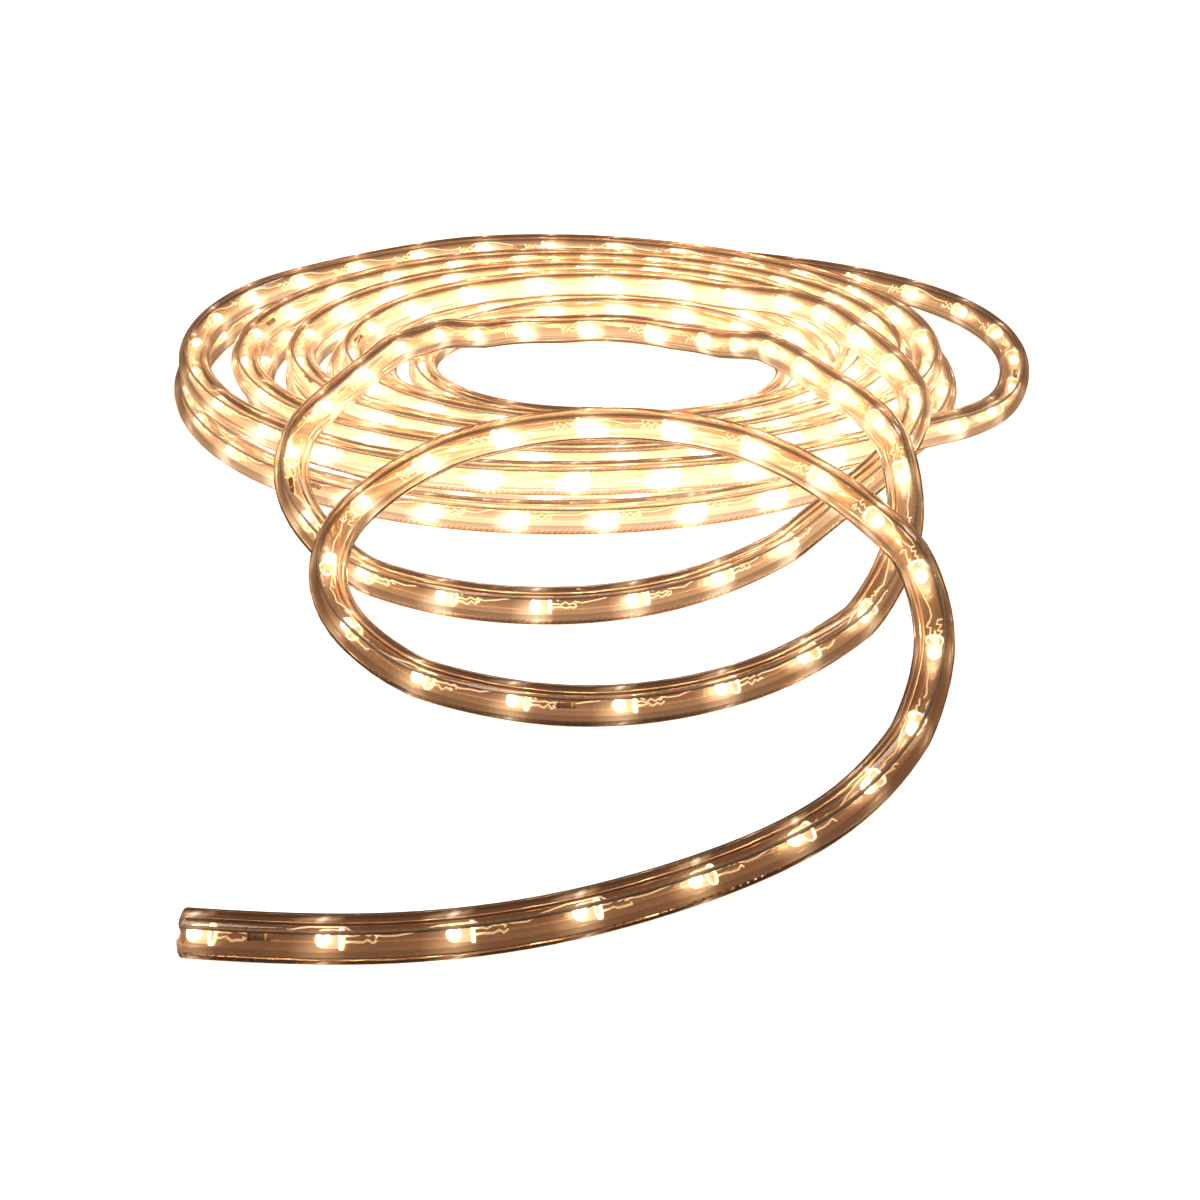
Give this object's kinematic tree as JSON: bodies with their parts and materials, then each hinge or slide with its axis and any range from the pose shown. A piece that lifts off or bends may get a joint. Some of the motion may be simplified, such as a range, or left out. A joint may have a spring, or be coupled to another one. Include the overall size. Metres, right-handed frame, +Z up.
{
  "type": "led rope light",
  "caption": "Clear amber-tinted round LED rope light, cut plain at both ends, lying in a loose flat coil with one end drawn out in front in two loops.",
  "frame": {"origin": "on the floor, under the middle of the part's bounding box", "axes": "+Z up off the floor, -Y from the coil towards the drawn-out cut end, +X to the right as seen from the cut end's side"},
  "size_m": [0.3816, 0.5475, 0.0444],
  "materials": {
    "amber_clear_pvc": "gloss",
    "bus_wire_copper": "stranded bare copper",
    "warm_white_led": "clear epoxy, lit"
  },
  "bodies": {
    "root": {"rope_sleeve": "amber_clear_pvc", "rope_coil": "amber_clear_pvc", "outer_bus_wire": "bus_wire_copper", "inner_bus_wire": "bus_wire_copper", "led_string": "warm_white_led"}
  },
  "joints": []
}
